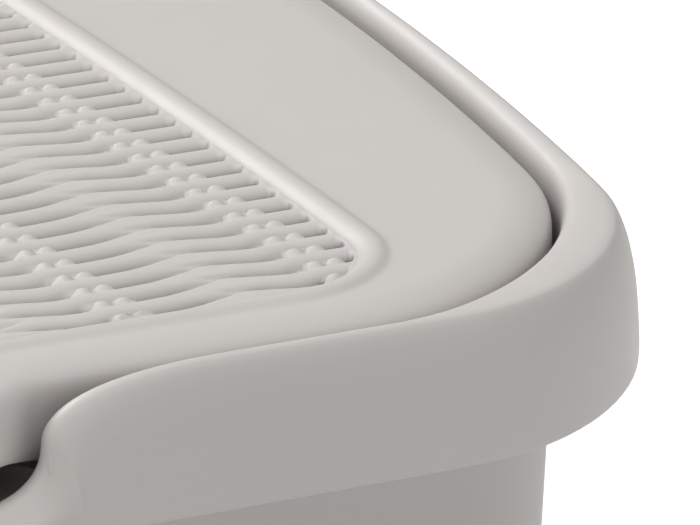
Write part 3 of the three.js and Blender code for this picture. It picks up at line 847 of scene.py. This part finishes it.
def make_lid():
    # Share of the shoulder and height, with the lip's own inset and height.
    rows = [
        plate_ring(1.0, LID_TOP),
        plate_ring(0.8, 388.93, 11.6, 388.75),
        plate_ring(0.6, 388.7, 10.6, 388.35),
        plate_ring(0.4, 388.2, 9.4, 387.7),
        plate_ring(0.22, 387.5, 8.4, 387.1),
        plate_ring(0.09, 386.7, 7.7, 385.6),
        plate_ring(0.02, 385.6, 7.2, 383.2),
        mixed_ring(12, 384, 7.0, 377.0),
        mixed_ring(12, 376, 7.2, 375.2),
        mixed_ring(12.3, 374.6, 7.9, 374.5),
        mixed_ring(14, 374.5, 9.4, 374.6),
        mixed_ring(14.6, 376, 10.4, 376.4),
        mixed_ring(15, 382, 12, 382),
        plate_ring(0.42, 385.2),
        plate_ring(0.7, 386),
        plate_ring(1.0, 386),
    ]
    # The shelf that carries the woven panel, then the bead round it: margin round the panel, and height.
    shelf_and_bead = [
        (4.2, 385.4),
        (3.6, 383.4),
        (3, 383),
        (-4.6, 383),
        (-5, 383.4),
        (-5, 384.7),
        (-4.6, 385),
        (0.3, 385),
        (0.3, WEAVE_TOP - 0.6),
        (-0.2, WEAVE_TOP - 0.5),
        (-0.4, WEAVE_TOP - 0.15),
        (0.2, 388.8),
        (1.0, 389.35),
        (1.9, 389.75),
        (2.9, 389.9),
        (3.8, 389.78),
        (4.5, 389.5),
        (5.1, 389.2),
        (5.7, 389.05),
        (BEAD_REACH, LID_TOP),
    ]
    for margin, z in shelf_and_bead:
        rows.append(level(panel_outline(margin), z))
    verts, faces = loft(rows, True)
    lid = piece("lid_plate", verts, faces, "lid_plastic", "lid", ["top_lid"], 1)
    # Behind its skirt only the lid's skin is left, with room for the hinges and for the box's rear corners.
    skin, past = 383, 400
    comb = [(-210, 360), (210, 360), (210, past), (167, past), (167, skin)]
    for x in (HINGE_X, -HINGE_X):
        comb += [(x + 18, skin), (x + 18, past), (x - 18, past), (x - 18, skin)]
    comb += [(-167, skin), (-167, past), (-210, past)]
    cut(lid, tool("hinge_room", *slab(comb, 212, 245, "y")))
    y, z = LID_AXIS
    for side, word in ((-1, "left"), (1, "right")):
        x = side * HINGE_X
        profile = [(205, z - 1), (213, z - 3.5)] + arc(y, z, HINGE_RADIUS, -125, 90, 24)
        profile += [(213, 387.2), (205, 387.2)]
        verts, faces = slab(profile, x - 7.5, x + 7.5, "x")
        bevelled(piece(f"lid_knuckle_{word}", verts, faces, "lid_plastic", "lid"), 0.5)
    return lid


# ---- Woven panel ----

STRAND_PITCH = 6.85
COLUMN_PITCH = 37.25
FIRST_COLUMN = 121.6
FIRST_ROW = -231.2
COLUMN_SHIFT = -2.0  # of every other column, along the panel
GROOVE_DEPTH = 3.0
GROOVE_THINS = (9, 22)  # where a groove loses most of its depth, from its column
GROOVE_ENDS = (18, 25)  # and where it loses the rest
KNOT_RADIUS = 2.0
KNOT_SPREAD = 1.75
KNOT_FORWARD = 0.85
KNOT_TOP = 0.3
KNOT_ZONE = 3.6
END_MARGIN = 1.0
WEAVE_STEPS = 14
WEAVE_HALF = 126.0  # beyond this the columns of points follow the panel's bowed side
FINE_STEP = 0.36
COARSE_STEP = 1.3


def half_width_at(y):
    """Half the panel's width at a distance along it, its rounded corners included."""
    to_end = np.minimum(y - PANEL_FRONT, PANEL_REAR - y)
    into = np.clip(PANEL_RADIUS - to_end, 0, PANEL_RADIUS)
    corner = PANEL_RADIUS - np.sqrt(np.maximum(PANEL_RADIUS**2 - into**2, 0))
    return (PANEL_HALF_WIDTH - corner) * (1 - PANEL_BOW * (y / HALF_LENGTH) ** 2)


def weave_height(x, y):
    """How high the weave lies against its highest level. Grooves start at each column of knots, run both
    ways, bend, and fade out between the grooves of the next column, which are shifted along the panel.
    A pair of knots fills the groove at the column."""

    def fading(away):
        return 1 - 0.8 * smoothstep(away, *GROOVE_THINS) - 0.2 * smoothstep(away, *GROOVE_ENDS)

    depth = np.zeros_like(x)
    knots = np.full_like(x, -GROOVE_DEPTH)
    for column in range(int((FIRST_COLUMN + PANEL_HALF_WIDTH) / COLUMN_PITCH) + 1):
        along = x - FIRST_COLUMN + column * COLUMN_PITCH
        left, right = np.maximum(-along, 0), np.maximum(along, 0)
        bend = 1.2 * smoothstep(left, 8, 24) - 0.9 * np.sin(np.pi * np.clip(left / 13, 0, 1)) ** 2
        strength = fading(left)
        if column > 0:
            bend = bend + 2.5 * smoothstep(right, 4, 26)
            strength = strength * fading(right)
        offset = y - FIRST_ROW - (column % 2) * COLUMN_SHIFT
        across = offset - bend
        across = across - STRAND_PITCH * np.round(across / STRAND_PITCH)
        reach = STRAND_PITCH / 2 * (0.35 + 0.65 * strength)
        t = np.clip(np.abs(across) / reach, 0, 1)
        groove = 1 - np.sqrt(np.maximum(1 - (1 - t) ** 2, 0))
        depth = np.maximum(depth, GROOVE_DEPTH * strength * groove)
        across = offset - STRAND_PITCH * np.round(offset / STRAND_PITCH)
        for knot in (-KNOT_SPREAD, KNOT_SPREAD):
            away = np.sqrt((along - knot) ** 2 + (across + KNOT_FORWARD) ** 2) / KNOT_RADIUS
            dome = KNOT_TOP - KNOT_RADIUS + KNOT_RADIUS * np.sqrt(np.maximum(1 - away**2, 0))
            knots = np.where(away < 1, np.maximum(knots, dome), knots)
    blunt = smoothstep(half_width_at(y) - np.abs(x), END_MARGIN - 0.3, END_MARGIN + 0.3)
    return np.maximum(-depth, knots) * blunt


def weave_columns():
    """Places across the panel, closer together at the knots."""
    stations = [-WEAVE_HALF]
    while stations[-1] < WEAVE_HALF:
        x = stations[-1]
        nearest = (FIRST_COLUMN - x) % COLUMN_PITCH
        away = min(nearest, COLUMN_PITCH - nearest)
        stations.append(x + (FINE_STEP if away < KNOT_ZONE else COARSE_STEP))
    stations[-1] = WEAVE_HALF
    return np.array(stations)


def make_weave():
    step = STRAND_PITCH / WEAVE_STEPS
    first = math.ceil((PANEL_FRONT - FIRST_ROW) / step + 0.3)
    last = math.floor((PANEL_REAR - FIRST_ROW) / step - 0.3)
    between = [FIRST_ROW + step * i for i in range(first, last + 1)]
    ys = np.array([PANEL_FRONT] + between + [PANEL_REAR])
    inner = weave_columns()
    margin_steps = 12
    shares = np.linspace(0, 1, margin_steps + 1)[1:]
    rows = []
    for y in ys:
        half = float(half_width_at(np.array(y)))
        scale = min(1.0, (half - 1.5) / WEAVE_HALF)
        xs = inner * scale
        side = WEAVE_HALF * scale + (half - WEAVE_HALF * scale) * shares
        rows.append(np.concatenate([-side[::-1], xs, side]))
    xs = np.array(rows)
    grid_y = np.repeat(ys[:, None], xs.shape[1], axis=1)
    top = WEAVE_TOP + weave_height(xs, grid_y)
    across, along = xs.shape[1], xs.shape[0]
    verts = np.stack([xs, grid_y, top], axis=-1).reshape(-1, 3).tolist()
    faces = []
    for j in range(along - 1):
        for i in range(j * across, j * across + across - 1):
            faces.append((i, i + 1, i + across + 1, i + across))
    # The plate's edge and underside.
    border = (
        list(range(across))
        + [j * across + across - 1 for j in range(1, along)]
        + [(along - 1) * across + i for i in range(across - 2, -1, -1)]
        + [j * across for j in range(along - 2, 0, -1)]
    )
    under = len(verts)
    verts += [(verts[i][0], verts[i][1], WEAVE_TOP - 3.3) for i in border]
    count = len(border)
    for k in range(count):
        n = (k + 1) % count
        faces.append((border[k], under + k, under + n, border[n]))
    faces.append(tuple(under + k for k in range(count))[::-1])
    return piece("woven_field", verts, faces, "weave_plastic", "lid", ["woven_panel"], crease_angle=70)


# ---- Door and its frame ----


def make_door_frame():
    section = [
        (0.0, -255.6),
        (0.5, -256.6),
        (1.6, -257),
        (7.4, -257),
        (8.6, -256.5),
        (9.0, -255.4),
        (9.0, -234.6),
        (8.6, -234),
        (0.5, -234),
        (0.0, -234.5),
    ]
    rows = [[(x, y, z) for x, z in doorway(margin)] for margin, y in section]
    verts, faces = loft(rows, True)
    return piece("entrance_frame", verts, faces, "trim_plastic", "base", ["door_frame"], crease_angle=38)


def make_door():
    top = DOOR_AXIS_Z - 1.2
    x, low, corner = 87.5, 144.5, 37.5
    flap_outline = (
        arc(x - corner, low + corner, corner, -90, 0, 16)
        + [(x, top), (-x, top)]
        + arc(corner - x, low + corner, corner, 180, 270, 16)
    )
    verts, faces = slab(flap_outline, DOOR_Y - 1.25, DOOR_Y + 1.25, "y")
    flap = bevelled(piece("door_flap", verts, faces, "door_plastic", "door", ["swing_door"]), 0.5)
    barrel = [(2.4, -87.2), (4.6, -87.2), (5, -86.8), (5, 86.8), (4.6, 87.2), (2.4, 87.2)]
    rows = turned(barrel, (0, DOOR_Y, DOOR_AXIS_Z), "x", 32)
    piece("door_barrel", *rows, "door_plastic", "door", crease_angle=40)
    # A raised bead round the flap stiffens it.
    ring = []
    for inset, y in [(7, DOOR_Y - 1.2), (8, DOOR_Y - 2.3), (10, DOOR_Y - 2.3), (11, DOOR_Y - 1.2)]:
        radius = corner - inset
        ring.append(
            [(a, y, b) for a, b in arc(x - corner, low + corner, radius, -90, 0, 14)]
            + [(x - inset, y, top - inset - 4), (inset - x, y, top - inset - 4)]
            + [(a, y, b) for a, b in arc(corner - x, low + corner, radius, 180, 270, 14)]
        )
    verts, faces = loft(ring, True)
    piece("door_bead", verts, faces, "door_plastic", "door", crease_angle=60)
    verts, faces = slab(rounded(-26, 158, 26, 165, 3.3), DOOR_Y - 6.2, DOOR_Y - 1, "y")
    bevelled(piece("door_grip", verts, faces, "door_plastic", "door"), 1.4, 4)
    axle = [(1.2, -94), (2, -93.4), (2, 93.4), (1.2, 94)]
    rows = turned(axle, (0, DOOR_Y, DOOR_AXIS_Z), "x", 24)
    piece("door_rod", *rows, "pin_plastic", "base", ["door_axle"], crease_angle=40)
    return flap


# ---- Pins, clips and filter ----


def make_pins():
    y, z = LID_AXIS
    x_clip, z_clip = CLIP_AXIS
    for side, word in ((-1, "left"), (1, "right")):
        profile = [(1.7, -12.4), (2.5, -11.8), (2.5, 11.8), (1.7, 12.4)]
        rows = turned(profile, (side * HINGE_X, y, z), "x", 28)
        piece(f"lid_pin_{word}", *rows, "pin_plastic", "base", [f"lid_hinge_pin_{word}"], crease_angle=40)
        profile = [(1.1, -30.6), (1.8, -30), (1.8, 30), (1.1, 30.6)]
        rows = turned(profile, (side * x_clip, 0, z_clip), "y", 24)
        piece(f"clip_rod_{word}", *rows, "pin_plastic", "base", [f"clip_pin_{word}"], crease_angle=40)


def make_clips():
    x, z = CLIP_AXIS
    outer = x + 3
    low = 113.9
    # Round the barrel, down the inner face to the hook, and up the outer face with its finger ridge.
    profile = (
        arc(x, z, 4.2, -45, 180, 22)
        + [(x - 4.2, z - 1), (outer - 3, z - 5), (outer - 3, 117.4)]
        + [(outer - 8.5, 117.4), (outer - 8.5, 115.4), (outer - 7, low), (outer - 1.2, low)]
        + [(outer, low + 1.2), (outer, 128), (outer + 0.9, 131), (outer + 0.2, 134)]
        + [(outer, 140), (outer, z - 4)]
    )
    for side, word in ((-1, "left"), (1, "right")):
        verts, faces = slab([(side * a, b) for a, b in profile], -26, 26, "y")
        clip = piece(f"latch_{word}", verts, faces, "clip_plastic", f"clip_{word}", [f"side_clip_{word}"])
        bevelled(clip, 0.7, 3, 30)
        for row in range(3):
            ridge = rounded(-17, 119.5 + row * 3.2, 17, 121 + row * 3.2, 0.7, 3)
            verts, faces = slab(ridge, side * (outer - 0.4), side * (outer + 0.7), "x")
            rib = piece(f"latch_rib_{word}_{row + 1}", verts, faces, "clip_plastic", f"clip_{word}")
            bevelled(rib, 0.25, 2)


def make_filter():
    low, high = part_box("filter_pad")
    low, high = low / MM, high / MM
    rows = []
    thickness = high.z - low.z
    for share, tuck in [(0, 3), (0.02, 1), (0.25, 0.1), (0.75, 0.1), (0.98, 1), (1, 3)]:
        points = rounded(low.x + tuck, low.y + tuck, high.x - tuck, high.y - tuck, 8, 10)
        rows.append([(x, y, low.z + thickness * share) for x, y in points])
    verts, faces = loft(rows, False)
    pad = piece("carbon_pad", verts, faces, "carbon_filter", "lid", ["filter_pad"], crease_angle=60)
    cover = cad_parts["filter_cover"]
    cover.data.materials.clear()
    cover.data.materials.append(MATERIALS["trim_plastic"])
    return pad


def add_floor():
    mesh = bpy.data.meshes.new("floor")
    half = 12
    corners = [(-half, -half, 0), (half, -half, 0), (half, half, 0), (-half, half, 0)]
    mesh.from_pydata(corners, [], [(0, 1, 2, 3)])
    floor = bpy.data.objects.new("floor", mesh)
    bpy.context.scene.collection.objects.link(floor)
    made, sheet, shader = material("studio_floor", {"Roughness": 0.75, "Specular IOR Level": 0.2})
    # The floor has painted shade under the object, and further out it glows as painted light, so it reads
    # brighter there.
    length = {"operation": "LENGTH"}
    away = sheet.node("ShaderNodeVectorMath", length, [sheet.place()], output="Value")
    far = sheet.ramp(away, 0.3, 1.05)
    # Painted shade: a darker grey near the object.
    painted_shade_tone = sheet.mix(sheet.noise(1.3, 2), (0.5, 0.5, 0.502, 1), (0.54, 0.54, 0.54, 1))
    tone = sheet.mix(far, painted_shade_tone, (0.97, 0.97, 0.97, 1))
    # Painted light: the floor emits further out.
    painted_glow = sheet.mix(far, (0, 0, 0, 1), (0.5, 0.5, 0.5, 1))
    shader.inputs["Emission Strength"].default_value = 1.0
    feed(sheet, shader, Base_Color=tone, Emission_Color=painted_glow)
    floor.data.materials.append(made)


add_camera()
add_studio()
add_floor()
make_rim()
make_deck()
make_hood()
make_pan()
make_lid()
make_weave()
make_door_frame()
make_door()
make_pins()
make_clips()
make_filter()

bpy.context.view_layer.update()
